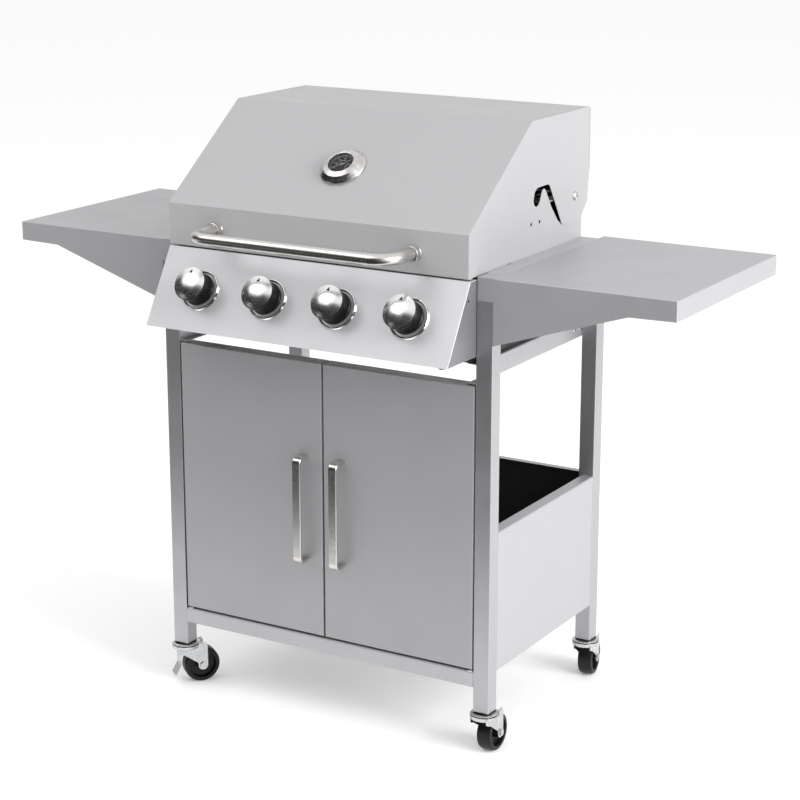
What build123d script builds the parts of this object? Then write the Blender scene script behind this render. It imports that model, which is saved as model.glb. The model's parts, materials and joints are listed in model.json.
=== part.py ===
from build123d import *
import os
from math import cos, hypot, radians, sin, tan

# Gas barbecue grill on a four-leg cart.  Millimetres, +X to the right, -Y towards the cook, +Z up.
# The sizes below are laid out from the front face of the front legs (y = 0) and the floor (z = 0);
# the finished grill is moved along Y so that its origin is the middle of its own footprint.

# Sheet metal
sheet = 1.0
bend = 1.5
seam = 0.3
screw_head_r = 4.2
screw_head_height = 2.2
screw_shank_r = 2.0

# Cart frame
cart_width = 620.0
cart_depth = 397.0
leg_side = 28.0
leg_wall = 1.5
leg_bottom = 77.0
leg_top = 751.0
cabinet_floor = 143.5
floor_flange = 26.5
low_panel_top = 376.0
panel_flange = 20.0
back_flange = 14.0
rail_bottom = 618.0
rail_top = 650.0
rail_flange = 16.0
rear_rail_bottom = 700.0
rear_rail_height = 34.0

# Doors
door_seam = 3.0
door_leg_gap = 2.5
door_floor_gap = 3.5
door_top = 615.0
door_depth = 25.0
door_pivot_inset = 5.0
door_pin_r = 3.0
running_fit = 0.05
bracket_gap = 1.6
handle_from_seam = 34.7
handle_width = 15.5
handle_bar = 5.0
handle_reach = 27.0
handle_corner = 12.0
handle_low = 276.0
handle_high = 459.0
catch_gap = 0.6

# Cooking box
rim_drop = 36.7
box_front = 4.0
box_back = 366.0
box_wall = 1.2
box_front_rise = 12.0
baffle_rise = 97.0
grate_ledge = 10.0
grate_drop = 4.0
tamer_drop = 40.0
strip_width = 32.5

# Control panel
panel_drop = 4.6
panel_top_y = -18.9
panel_lean = 30.1
panel_face = 139.9
panel_lip = 24.0
panel_end_gap = 0.5
panel_hole_r = 3.0
panel_hole_inset = 5.0
panel_hole_drop = 29.0
knob_count = 4
knob_pitch = 130.0
stem_r = 3.0
stem_hole_r = 7.0
knob_push = 3.0
knob_cap_r = 28.0
knob_height = 43.5
bezel_r = 34.5
bezel_inner_r = 30.0
bezel_height = 4.0
valve_depth = 29.0
valve_side = 24.0
valve_collar_r = 8.0
manifold_r = 9.0
manifold_left_end = 25.0
manifold_right_end = 50.0
manifold_back = 6.0
manifold_drop = 29.0
inlet_drop = 36.0
inlet_r = 8.0
inlet_bore_r = 5.0
inlet_neck_r = 7.0
inlet_thread = 14.0
inlet_nut_r = 11.0
inlet_nut_height = 6.0
nozzle_r = 4.0
burner_r = 16.0
burner_wall = 1.2
burner_rise = 2.0

# Hood
hood_end_gap = 3.0
hood_overhang = 2.0
hood_lift = 2.6
hood_band = 69.1
hood_height = 215.6
hood_run = 201.5
hood_back_gap = 8.0
hood_back_open = 103.0
hood_lip = 11.0
hood_side_recess = 0.5
cap_gap = 1.5
pivot_inset = 58.0
pivot_rise = 74.6
pivot_bolt_r = 4.0
bar_r = 9.75
bar_half = 185.0
bar_reach = 79.0
bar_height = 32.5
bar_bend = 36.0
ferrule_r = 12.0
ferrule_length = 12.0
gauge_up_slope = 112.0
gauge_r = 39.0
gauge_height = 14.0
gauge_window_r = 21.5
gauge_stem_r = 5.0
spit_slot_r = 11.0
spit_y = 206.5
spit_rise = 88.0
spit_hole_pitch = 29.0
spit_hole_r = 3.0

# Grates, rack and tray
grate_bar = 6.0
grate_height = 8.0
grate_pitch = 15.5
grate_gap = 3.0
rack_rod_r = 2.2
rack_rise = 80.0
rack_front = 240.0
rack_back = 318.0
tray_depth = 17.0
tray_clear = 0.5

# Side shelves
shelf_reach = 301.4
shelf_back = 391.0
shelf_edge = 31.8
apron_depth = 105.2
apron_run = 224.0
tab_depth = 36.0
tab_gap = 1.0

# Casters
wheel_r = 31.5
wheel_width = 25.0
caster_trail = 26.0
axle_r = 4.0
wheel_gap = 1.5
fork_wall = 2.0
fork_r = 24.0
fork_plate = 2.5
head_r = 22.5
head_thickness = 3.0
caster_stem_r = 5.5
socket_flange = 2.5
stem_length = 40.0
king_r = 5.0
race_gap = 0.6
cup_height = 6.5
lever_half = 12.5
lever_pin_r = 2.0
lever_x = -13.0
lever_drop = 4.8
caster_turns = {"front_left": 52.0, "front_right": 90.0, "rear_left": 75.0, "rear_right": 100.0}
braked_casters = ("front_left", "rear_left")

# Places worked out from the sizes above
half_width = cart_width / 2
leg_inside = half_width - leg_side
leg_centre_x = half_width - leg_side / 2
leg_front_y = leg_side / 2
leg_rear_y = cart_depth - leg_side / 2
rear_leg_face = cart_depth - leg_side
rim = leg_top + rim_drop
door_bottom = cabinet_floor + door_floor_gap
door_outer = leg_inside - door_leg_gap
door_width = door_outer - door_seam / 2
door_pivot_x = door_outer - door_pivot_inset
handle_feet = (handle_low + handle_bar / 2, handle_high - handle_bar / 2)
panel_half = leg_inside - panel_end_gap
panel_top = rim - panel_drop
panel_bottom = panel_top - panel_face * cos(radians(panel_lean))
panel_bottom_y = panel_top_y - panel_face * sin(radians(panel_lean))
hood_half = leg_inside - hood_end_gap
hood_front = panel_top_y - hood_overhang
hood_bottom = panel_top + hood_lift
hood_top = hood_bottom + hood_height
hood_back = cart_depth - hood_back_gap
hood_slope_y = hood_front + hood_run
cap_outer = hood_half - hood_side_recess - sheet - cap_gap
box_side = cap_outer - sheet
tray_half = box_side - box_wall - 6.0
pivot_y = cart_depth - pivot_inset
pivot_z = hood_bottom + pivot_rise
knob_places = [(i - (knob_count - 1) / 2) * knob_pitch for i in range(knob_count)]
knob_lean = radians(panel_lean)
knob_y = (panel_top_y + panel_bottom_y) / 2
knob_z = (panel_top + panel_bottom) / 2
valve_y = knob_y + valve_depth * cos(knob_lean)
valve_z = knob_z - valve_depth * sin(knob_lean)
burner_z = valve_z + burner_rise
manifold_y = valve_y + manifold_back
manifold_z = valve_z - manifold_drop
grate_top = rim + grate_height - grate_drop
shelf_joint = half_width - 2.0
head_top = leg_bottom - socket_flange
fork_low = head_top - head_thickness - race_gap - cup_height
lever_z = fork_low - lever_drop
corners = {
    "front_left": (-leg_centre_x, leg_front_y),
    "front_right": (leg_centre_x, leg_front_y),
    "rear_left": (-leg_centre_x, leg_rear_y),
    "rear_right": (leg_centre_x, leg_rear_y),
}


# ---- Shapes used by many pieces --------------------------------------------------------------

def block(x0, x1, y0, y1, z0, z1):
    """Box between two opposite corners."""
    middle = ((x0 + x1) / 2, (y0 + y1) / 2, (z0 + z1) / 2)
    return Pos(*middle) * Box(abs(x1 - x0), abs(y1 - y0), abs(z1 - z0))


def rod(start, end, radius):
    """Round bar from one point to another."""
    a = Vector(*start)
    b = Vector(*end)
    return extrude(Plane(origin=a, z_dir=b - a) * Circle(radius), amount=(b - a).length)


def bar_path(points, radius, bend_radius):
    """Round bar that follows straight runs joined by arcs."""
    path = FilletPolyline(*points, radius=bend_radius)
    start = Plane(origin=path @ 0, z_dir=path % 0)
    return sweep(start * Circle(radius), path=path)


def across(outline, x0, x1):
    """Prism between x0 and x1 with a (y, z) outline."""
    return Pos(x0, 0, 0) * extrude(Plane.YZ * outline, amount=x1 - x0)


def along(outline, y0, y1):
    """Prism between y0 and y1 with an (x, z) outline."""
    return Pos(0, y1, 0) * extrude(Plane.XZ * outline, amount=y1 - y0)


def polygon(*points):
    return make_face(Polyline(*points, close=True))


def turned(*points):
    """Solid of revolution about Z from (radius, height) points."""
    return revolve(Plane.XZ * polygon(*points), axis=Axis.Z)


def rounded(outline, corner_radii):
    """Polygon whose corner number n gets the radius corner_radii[n]."""
    radii = [corner_radii.get(index, 0) for index in range(len(outline))]
    return make_face(FilletPolyline(*outline, radius=radii, close=True))


def parallel(points, distance):
    """The line that runs beside an open line, to its left."""
    def left(a, b):
        length = hypot(b[0] - a[0], b[1] - a[1])
        return (-(b[1] - a[1]) / length, (b[0] - a[0]) / length)

    sides = [left(a, b) for a, b in zip(points, points[1:])]
    result = [(points[0][0] + sides[0][0] * distance, points[0][1] + sides[0][1] * distance)]
    for corner, one, two in zip(points[1:], sides, sides[1:]):
        share = distance / (1 + one[0] * two[0] + one[1] * two[1])
        result.append((corner[0] + (one[0] + two[0]) * share, corner[1] + (one[1] + two[1]) * share))
    result.append((points[-1][0] + sides[-1][0] * distance, points[-1][1] + sides[-1][1] * distance))
    return result


def folded(points, thickness=sheet, inside=bend):
    """Outline of a sheet that follows a folded line and lies to its left."""
    outer_radii = []
    inner_radii = []
    for a, b, c in zip(points, points[1:], points[2:]):
        left_turn = (b[0] - a[0]) * (c[1] - b[1]) - (b[1] - a[1]) * (c[0] - b[0]) > 0
        outer_radii.append(inside + thickness if left_turn else inside)
        inner_radii.append(inside if left_turn else inside + thickness)
    inner = parallel(points, thickness)
    if len(points) == 2:
        return polygon(*points, *reversed(inner))
    outer_line = FilletPolyline(*points, radius=outer_radii)
    inner_line = FilletPolyline(*inner, radius=inner_radii)
    ends = [Line(outer_line @ 0, inner_line @ 0), Line(outer_line @ 1, inner_line @ 1)]
    return make_face([outer_line, inner_line, *ends])


def pan(width, height, depth, corner=bend + sheet):
    """Open-backed pan of folded sheet.  Its front lies at y = 0 and its foot at z = 0."""
    outer = block(-width / 2, width / 2, 0, depth, 0, height)
    outer = fillet(outer.faces().sort_by(Axis.Y)[0].edges(), corner)
    inner = block(-width / 2 + sheet, width / 2 - sheet, sheet, depth + 1, sheet, height - sheet)
    inner = fillet(inner.faces().sort_by(Axis.Y)[0].edges(), corner - sheet)
    return outer - inner


def screw(x, y, z, direction, length=8.0):
    """Dome-headed screw whose head stands on a surface and faces the given direction."""
    radius = screw_head_r
    top = screw_head_height
    dome = [(radius, 0.6), (radius * 0.75, top * 0.8), (radius * 0.35, top)]
    head = turned((0, 0), (radius, 0), *dome, (0, top))
    shank = Pos(0, 0, -length / 2) * Cylinder(screw_shank_r, length)
    recess = Pos(0, 0, top) * Box(radius, 0.8, 1.4)
    cross = recess + Rot(0, 0, 90) * recess
    return Plane(origin=(x, y, z), z_dir=direction).location * (head + shank - cross)


def mirrored(piece):
    """The same piece on the other side of the grill."""
    return mirror(piece, about=Plane.YZ)


def both_sides(piece):
    return [piece, mirrored(piece)]


# ---- Cart --------------------------------------------------------------------------------------

def leg(x, y):
    height = leg_top - leg_bottom
    outer = Pos(x, y, leg_bottom + height / 2) * Box(leg_side, leg_side, height)
    outer = fillet(outer.edges().filter_by(Axis.Z), leg_wall)
    bore = leg_side - 2 * leg_wall
    return outer - Pos(x, y, leg_bottom + height / 2) * Box(bore, bore, height + 2)


def caster_socket(x, y):
    """Plug in the foot of a leg, with a flange that closes the tube."""
    bore = leg_side - 2 * leg_wall
    half = leg_side / 2 - 0.5
    plug = Pos(x, y, leg_bottom + stem_length / 2) * Box(bore, bore, stem_length)
    flange = block(x - half, x + half, y - half, y + half, head_top, leg_bottom)
    return plug + flange - rod((x, y, head_top - 1), (x, y, leg_bottom + stem_length + 1), caster_stem_r)


def bottom_shelf():
    plate_low = cabinet_floor - sheet
    inner_x = leg_inside - seam
    outer_x = half_width - sheet - bend
    gap = seam + sheet
    back = cart_depth - sheet - bend
    plate = block(-outer_x, outer_x, leg_side + gap, rear_leg_face - gap, plate_low, cabinet_floor)
    plate += block(-inner_x, inner_x, bend + sheet, cart_depth - back_flange, plate_low, cabinet_floor)
    plate += block(-inner_x + sheet, inner_x - sheet, bend + sheet, back, plate_low, cabinet_floor)
    flange_low = cabinet_floor - floor_flange
    front = folded([(15, flange_low), (0, flange_low), (0, cabinet_floor), (15, cabinet_floor)][::-1])
    return plate + across(front, -inner_x, inner_x)


def side_panel():
    low = cabinet_floor - 2 * sheet
    skin = pan(rear_leg_face - leg_side - 2 * seam, low_panel_top - low, panel_flange)
    return Pos(half_width, cart_depth / 2, low) * Rot(0, 0, 90) * skin


def back_panel():
    low = cabinet_floor - 2 * sheet
    skin = pan(2 * (leg_inside - seam), low_panel_top - low, back_flange)
    return Pos(0, cart_depth, low) * Rot(0, 0, 180) * skin


def side_rail():
    inner_x = leg_inside - rail_flange
    line = [(inner_x, rail_bottom), (leg_inside, rail_bottom), (leg_inside, rail_top), (inner_x, rail_top)]
    return along(folded(line), 2.0, cart_depth - 2.0)


def rear_rail():
    low = rear_rail_bottom
    high = rear_rail_bottom + rear_rail_height
    back = cart_depth - 4.0
    line = [(back - 12.0, low), (back, low), (back, high), (back - 12.0, high)]
    return across(folded(line), -leg_inside + seam, leg_inside - seam)


def frame_screws():
    rail_middle = (rail_bottom + rail_top) / 2
    screws = []
    for side in (1, -1):
        for y in (rear_leg_face - 29, rear_leg_face - 8):
            screws.append(screw(side * leg_inside, y, rail_middle, (side, 0, 0)))
        for z in (cabinet_floor + 30, low_panel_top - 30):
            screws.append(screw(side * (leg_inside - 18), cart_depth, z, (0, 1, 0)))
        for z in (rim - 14, rim - 60):
            screws.append(screw(side * (box_side - 30), box_back, z, (0, 1, 0)))
        for z in (leg_top - 12, leg_top - 40):
            screws.append(screw(side * leg_centre_x, cart_depth, z, (0, 1, 0)))
    return screws


# ---- Doors -------------------------------------------------------------------------------------

def door():
    """Right-hand door."""
    height = door_top - door_bottom
    shell = Pos((door_seam + door_width) / 2, 0, door_bottom) * pan(door_width, height, door_depth)
    pin_hole = Cylinder(door_pin_r + running_fit, height + 2)
    shell -= Pos(door_pivot_x, door_pivot_inset, (door_bottom + door_top) / 2) * pin_hole
    for z in handle_feet:
        shell -= rod((handle_from_seam, -1, z), (handle_from_seam, sheet + 1, z), screw_shank_r)
    return shell


def door_brackets():
    """Top bracket with its pin, and the bottom pin that stands on the cabinet floor."""
    plate_low = door_top + bracket_gap
    plate = block(leg_inside - rail_flange, leg_inside, 1.0, door_depth, plate_low, rail_bottom)
    pin_end = (door_pivot_x, door_pivot_inset, door_top - 12)
    top_pin = rod((door_pivot_x, door_pivot_inset, plate_low), pin_end, door_pin_r)
    foot = turned((0, 0), (6, 0), (6, 2), (door_pin_r, 2), (door_pin_r, 18), (0, 18))
    return [plate + top_pin, Pos(door_pivot_x, door_pivot_inset, cabinet_floor) * foot]


def door_handle():
    """Flat bar with rounded corners, and the two screws that hold it from inside the right-hand door."""
    line = [(0, handle_high), (-handle_reach, handle_high), (-handle_reach, handle_low), (0, handle_low)]
    outline = folded(line, handle_bar, handle_corner - handle_bar)
    left = handle_from_seam - handle_width / 2
    bar = across(outline, left, left + handle_width)
    ends = bar.faces().sort_by(Axis.X)
    bar = chamfer(ends[0].edges() + ends[-1].edges() - bar.faces().sort_by(Axis.Y)[-2:].edges(), 1.0)
    return [bar] + [screw(handle_from_seam, sheet, z, (0, 1, 0), sheet) for z in handle_feet]


def door_catch():
    """Magnetic catch behind the free edge of the right-hand door."""
    y = door_depth + catch_gap
    body = block(8, 30, y, y + 12, cabinet_floor, cabinet_floor + 16)
    return fillet(body.edges().filter_by(Axis.Z), 1.5)


# ---- Cooking box -------------------------------------------------------------------------------

def firebox():
    walls = block(-box_side, box_side, box_front, box_back, rail_top, rim + box_front_rise)
    walls -= block(-box_side + box_wall, box_side - box_wall, box_front + box_wall, box_back - box_wall,
                   rail_top - 1, rim + box_front_rise + 1)
    walls -= block(-box_side - 1, box_side + 1, box_front + box_wall + 20, box_back - box_wall - 20,
                   rim - sheet, rim + box_front_rise + 1)
    walls += block(-box_side, box_side, box_back - box_wall, box_back, rim, rim + baffle_rise)
    tray_mouth = rail_top + tray_depth + 12
    walls -= block(-tray_half - 2, tray_half + 2, box_back - 2, box_back + 1, rail_top - 1, tray_mouth)
    inner_front = box_front + box_wall
    inner_back = box_back - box_wall
    inner_side = box_side - box_wall
    for drop in (grate_drop + box_wall, tamer_drop):
        top = rim - drop + box_wall
        walls += block(-inner_side, inner_side, inner_front, inner_front + grate_ledge, top - box_wall, top)
        walls += block(-inner_side, inner_side, inner_back - grate_ledge, inner_back, top - box_wall, top)
    runner_top = rail_top + box_wall
    for side in (1, -1):
        walls += block(side * (box_side - 24), side * box_side, box_front, box_back, rail_top, runner_top)
    for x in knob_places:
        walls -= rod((x, box_front - 1, burner_z), (x, box_front + 3, burner_z), burner_r)
    return walls


def end_cap():
    """Right-hand end of the cooking box, with the spit slot, the hood's pivot ear and the flange strip."""
    slot_z = hood_bottom + spit_rise
    foot = rim - sheet
    ear = pivot_y - 22.0
    outline = [(box_front, foot), (box_back + 3, foot), (box_back + 3, rim + 40),
               (box_back - 4, pivot_z + 14), (pivot_y - 14, pivot_z + 16), (ear, pivot_z), (ear - 3, rim + 37),
               (spit_y + 79, rim + 37), (spit_y + 50, rim + 69), (spit_y + 33, rim + 94),
               (spit_y + 25, rim + 102), (spit_y + 18, rim + 97), (spit_y + spit_slot_r, slot_z - 4),
               (spit_y - spit_slot_r, rim + 97), (spit_y - 40, rim + 80), (box_front, rim + 16)]
    plate = across(rounded(outline, {2: 6, 3: 14, 4: 14, 7: 18, 10: 5}), cap_outer - sheet, cap_outer)
    near = cap_outer - 5
    far = cap_outer + 5
    slot = rod((near, spit_y, slot_z), (far, spit_y, slot_z), spit_slot_r)
    slot += block(near, far, spit_y - spit_slot_r - 6, spit_y + spit_slot_r, slot_z, rim + 140)
    plate -= slot
    for offset in (-0.5, 0.5):
        y = spit_y + (offset - 0.12) * spit_hole_pitch
        plate -= rod((near, y, hood_bottom + 51), (far, y, hood_bottom + 51), spit_hole_r)
    plate -= rod((near, pivot_y, pivot_z), (far, pivot_y, pivot_z), pivot_bolt_r + running_fit)
    strip = block(cap_outer - sheet, shelf_joint, tab_depth + seam, box_back + 3, rim - sheet, rim)
    strip -= block(0, hood_half + 1.5, 0, hood_front + 137, rim - 5, rim + 5)
    bracket = block(cap_outer - 22, cap_outer - sheet + 0.01, rack_front - 6, rack_back + 6,
                    rim + rack_rise - rack_rod_r - 2.5, rim + rack_rise - rack_rod_r - 1.0)
    return plate + strip + bracket


def knob_place(x):
    """Frame on the sloped panel: its Z stands out of the panel and its Y points up the panel."""
    normal = (0, -cos(knob_lean), sin(knob_lean))
    return Plane(origin=(x, knob_y, knob_z), x_dir=(1, 0, 0), z_dir=normal).location


def control_panel():
    wedge = [(0, panel_top), (panel_top_y, panel_top), (panel_bottom_y, panel_bottom), (0, panel_bottom)]
    shell = across(polygon(*wedge), -panel_half, panel_half)
    ends = shell.faces().filter_by(Axis.X)
    front = [e for f in ends for e in f.edges() if e.center().Y < -1.0]
    shell = fillet(front, bend)
    lean = knob_lean
    inner_top = panel_top - sheet
    inner_low = panel_bottom + sheet
    rise = tan(lean)
    inner_front_y = panel_top_y + sheet / cos(lean)
    wide = [(1, inner_top), (inner_front_y - sheet * rise, inner_top),
            (inner_front_y - (panel_top - inner_low) * rise, inner_low), (1, inner_low)]
    shell -= across(polygon(*wide), -panel_half + sheet, panel_half - sheet)
    open_front = panel_bottom_y + panel_lip
    shell -= block(-panel_half + sheet, panel_half - sheet, open_front, 1, panel_bottom - 1, panel_bottom + 5)
    for x in knob_places:
        shell -= knob_place(x) * Cylinder(stem_hole_r, 10)
    hole_y = panel_top_y - panel_hole_inset
    hole_z = panel_top - panel_hole_drop
    return shell - rod((-half_width, hole_y, hole_z), (half_width, hole_y, hole_z), panel_hole_r)


def knob_bezels():
    top = bezel_height
    ring = turned((bezel_inner_r, 0), (bezel_r, 0), (bezel_r, top - 2.8), (bezel_r - 1.5, top - 0.6),
                  (bezel_r - 2.6, top), (bezel_inner_r + 0.8, top - 0.8), (bezel_inner_r, top - 1.6))
    return [knob_place(x) * ring for x in knob_places]


def knob(x):
    skirt = knob_cap_r - 1.5
    top = knob_height
    cap = [(1.0, 13.4), (0.2, 12.6), (0, 11.6), (0.4, 9.8), (1.7, 7.8), (4.4, 5.8), (9.0, 3.5), (14.0, 1.8),
           (20.0, 0.5)]
    shape = turned((0, 4), (skirt, 4), (skirt + 0.5, 6), (skirt - 1.5, top - 15),
                   *[(knob_cap_r - inset, top - drop) for inset, drop in cap], (0, top))
    bore = Pos(0, 0, 2 + 12) * Cylinder(stem_r + running_fit, 24)
    return knob_place(x) * (shape - bore)


def valve_stem(x):
    stem = Pos(0, 0, -4) * Cylinder(stem_r, 52)
    flat = block(-5, 5, stem_r - 0.9, 6, 6, 23)
    return knob_place(x) * (stem - flat)


def gas_valve(x):
    body = Pos(0, 0, -valve_depth) * Box(valve_side, valve_side, 30)
    body = fillet(body.edges().filter_by(Axis.Z), 4)
    collar = Pos(0, 0, -11) * Cylinder(valve_collar_r, 8)
    bore = Pos(0, 0, -22) * Cylinder(stem_r + running_fit, 34)
    nozzle = rod((x, valve_y, burner_z), (x, box_front - 6, burner_z), nozzle_r)
    tail = rod((x, manifold_y, manifold_z + manifold_r - 2), (x, manifold_y, valve_z), 6.0)
    return knob_place(x) * (body + collar) + nozzle + tail - supply_pipe() - knob_place(x) * bore


def supply_pipe():
    left = -knob_places[-1] - manifold_left_end
    right = knob_places[-1] + manifold_right_end
    return rod((left, manifold_y, manifold_z), (right, manifold_y, manifold_z), manifold_r)


def gas_manifold():
    """Supply pipe behind the panel, with a threaded inlet that points down at its right end."""
    x = knob_places[-1] + manifold_right_end - inlet_r
    foot = manifold_z - inlet_drop
    nut_low = foot + inlet_thread
    thread = rod((x, manifold_y, foot), (x, manifold_y, nut_low), inlet_r)
    neck = rod((x, manifold_y, nut_low), (x, manifold_y, manifold_z), inlet_neck_r)
    nut = Pos(x, manifold_y, nut_low) * extrude(RegularPolygon(inlet_nut_r, 6), amount=inlet_nut_height)
    passage = rod((x, manifold_y, foot - 1), (x, manifold_y, manifold_z), inlet_bore_r)
    return supply_pipe() + thread + neck + nut - passage


def burner(x):
    """Tube burner: an open mouth at the front wall and a closed far end, with two rows of ports."""
    front = box_front - 2
    back = box_back - box_wall - 12
    tube = rod((x, front, burner_z), (x, back, burner_z), burner_r)
    tube -= rod((x, front - 1, burner_z), (x, back - 2, burner_z), burner_r - burner_wall)
    tail = block(x - 8, x + 8, back, box_back - box_wall, burner_z - 1.5, burner_z + 1.5)
    return tube + tail


def flame_tamer(x):
    low = rim - tamer_drop + box_wall + sheet
    half = 44.0
    line = [(x + half, low), (x, low + 26), (x - half, low)]
    front = box_front + box_wall
    return along(folded(line), front + seam, box_back - box_wall - seam)


def cooking_grate():
    """Right-hand grate: frame, bars from front to back and three cross bars under them."""
    x0 = grate_gap / 2
    x1 = box_side - box_wall - grate_gap
    y0 = box_front + box_wall + 1.5
    y1 = box_back - box_wall - 1.5
    low = grate_top - grate_height
    grate = block(x0, x1, y0, y0 + grate_bar, low, grate_top)
    grate += block(x0, x1, y1 - grate_bar, y1, low, grate_top)
    count = int((x1 - x0 - grate_bar) / grate_pitch)
    pitch = (x1 - x0 - grate_bar) / count
    for n in range(count + 1):
        x = x0 + n * pitch
        grate += block(x, x + grate_bar, y0, y1, low, grate_top)
    for share in (0.25, 0.5, 0.75):
        y = y0 + share * (y1 - y0)
        grate += block(x0, x1, y - 2.5, y + 2.5, low, low + 4)
    return grate


def warming_rack():
    """Wire rack: two long rods, cross wires, and ends that lie on the end-cap brackets."""
    reach = cap_outer - sheet - 2.5
    z = rim + rack_rise
    rack = rod((-reach, rack_front, z), (reach, rack_front, z), rack_rod_r)
    rack += rod((-reach, rack_back, z), (reach, rack_back, z), rack_rod_r)
    count = int(2 * (reach - 30) / 22)
    for n in range(count + 1):
        x = -(reach - 30) + n * 2 * (reach - 30) / count
        rack += rod((x, rack_front, z), (x, rack_back, z), rack_rod_r * 0.8)
    return rack


def grease_tray():
    """Shallow tray on the firebox runners, with a pull flange at the back."""
    half = tray_half
    low = rail_top + box_wall + tray_clear
    back = box_back + 3
    front = box_front + 4
    tray = block(-half, half, front, back, low, low + tray_depth)
    tray -= block(-half + sheet, half - sheet, front + sheet, back - sheet, low + sheet, low + tray_depth + 1)
    flange = block(-half, half, back, back + sheet, low, low + tray_depth + 16)
    pull = block(-70, 70, back, back + 18, low + tray_depth + 16 - sheet, low + tray_depth + 16)
    return tray + flange + pull


# ---- Hood --------------------------------------------------------------------------------------

def hood_line():
    """Outer (y, z) line of the hood, from the foot of its back over the top to its front foot."""
    return [(hood_back + 1, hood_top - hood_back_open), (hood_back, hood_top), (hood_slope_y, hood_top),
            (hood_front, hood_bottom + hood_band), (hood_front, hood_bottom),
            (hood_front + hood_lip, hood_bottom)]


def hood_shell():
    shell = across(folded(hood_line()), -hood_half, hood_half)
    return shell - gauge_place() * Cylinder(gauge_stem_r + 0.5, 12)


def hood_side():
    """Right-hand side plate.  Its cut-out clears a spit rod and the hump of the end cap."""
    back, roof, brow, band, foot, _ = parallel(hood_line(), sheet)
    low = hood_bottom
    back_foot = back[1] - seam
    outline = [foot, (hood_front + 114, foot[1]), (hood_front + 127, low + 1.7), (hood_front + 148, low + 14),
               (spit_y - 52, low + 48), (spit_y - 19, low + 78), (spit_y - 12, low + 107.5),
               (spit_y + 38, low + 108.5), (spit_y + 87, low + 34), (pivot_y + 21, low + 34),
               (hood_back - 4, low + 61), (hood_back + 1, back_foot), (back[0], back_foot), roof, brow, band]
    corner = bend + 0.2
    radii = {0: corner, 4: 20, 5: 14, 6: 15, 7: 13, 8: 10, 10: 8, 13: corner, 14: corner, 15: corner}
    face = rounded(outline, radii)
    outer = hood_half - hood_side_recess
    plate = across(face, outer - sheet, outer)
    return plate - rod((outer - 5, pivot_y, pivot_z), (outer + 5, pivot_y, pivot_z), pivot_bolt_r)


def hood_pivot_bolt():
    """Shoulder bolt: it is tight in the hood side and turns in the end-cap ear."""
    outer = hood_half - hood_side_recess
    inside = cap_outer - sheet - 1.0
    shank = rod((inside - 6, pivot_y, pivot_z), (outer, pivot_y, pivot_z), pivot_bolt_r)
    nut = Plane(origin=(inside, pivot_y, pivot_z), z_dir=(-1, 0, 0)) * RegularPolygon(7.5, 6)
    head = turned((0, 0), (7.5, 0), (7.5, 1.0), (5.5, 3.2), (2.5, 4.0), (0, 4.0))
    socket = Pos(0, 0, 3.4) * extrude(RegularPolygon(2.6, 6), amount=4)
    head_place = Plane(origin=(outer, pivot_y, pivot_z), z_dir=(1, 0, 0)).location
    return shank + extrude(nut, amount=5) + head_place * (head - socket)


def hood_handle():
    z = hood_bottom + bar_height
    y = hood_front - bar_reach
    points = [(-bar_half, hood_front, z), (-bar_half, y, z), (bar_half, y, z), (bar_half, hood_front, z)]
    return bar_path(points, bar_r, bar_bend)


def handle_ferrules():
    ring = turned((bar_r, 0), (ferrule_r + 0.5, 0), (ferrule_r + 0.5, 1.5), (ferrule_r, 2.5),
                  (ferrule_r, ferrule_length - 1), (ferrule_r - 1, ferrule_length), (bar_r, ferrule_length))
    z = hood_bottom + bar_height
    return [Plane(origin=(x, hood_front, z), z_dir=(0, -1, 0)).location * ring for x in (-bar_half, bar_half)]


def gauge_place():
    """Frame on the hood's slope: its Z stands out of the hood and its Y points up the slope."""
    length = hypot(hood_run, hood_height - hood_band)
    along_y = hood_run / length
    along_z = (hood_height - hood_band) / length
    origin = (0, hood_front + gauge_up_slope * along_y, hood_bottom + hood_band + gauge_up_slope * along_z)
    return Plane(origin=origin, x_dir=(1, 0, 0), z_dir=(0, -along_z, along_y)).location


def thermometer_case():
    """Bezel, dial seat and probe in one turned piece, and the nut inside the hood."""
    top = gauge_height
    window = gauge_window_r
    bezel = turned((0, 0), (gauge_r, 0), (gauge_r, top - 10.5), (gauge_r - 0.8, top - 9.4),
                   (window + 9.6, top - 2.6), (window + 8.4, top - 2.0), (window + 1.2, top),
                   (window, top - 0.4), (window, 7), (0, 7))
    probe = Pos(0, 0, -30) * Cylinder(gauge_stem_r, 60) + Pos(0, 0, -75) * Cylinder(3.0, 30)
    pin_hole = Pos(0, 0, 5) * Cylinder(1.0 + running_fit, 6)
    nut = Pos(0, 0, -sheet - 5) * extrude(RegularPolygon(10, 6), amount=5)
    nut -= Cylinder(gauge_stem_r, 40)
    return [gauge_place() * (bezel + probe - pin_hole), gauge_place() * nut]


def thermometer_lens():
    return gauge_place() * (Pos(0, 0, 12.0) * Cylinder(gauge_window_r, 1.5))


def thermometer_needle():
    """Pointer on its own pin; it lies over the dial."""
    blade = polygon((-1.6, -6), (1.6, -6), (1.2, 0), (0.35, 17), (-0.35, 17), (-1.2, 0))
    hub = Pos(0, 0, 8.4) * Cylinder(2.6, 1.2)
    pin = Pos(0, 0, 6.2) * Cylinder(1.0, 4.0)
    pointer = Pos(0, 0, 8.0) * extrude(blade, amount=0.7) + hub + pin
    return gauge_place() * (Rot(0, 0, 120) * pointer)


# ---- Side shelves ------------------------------------------------------------------------------

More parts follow.
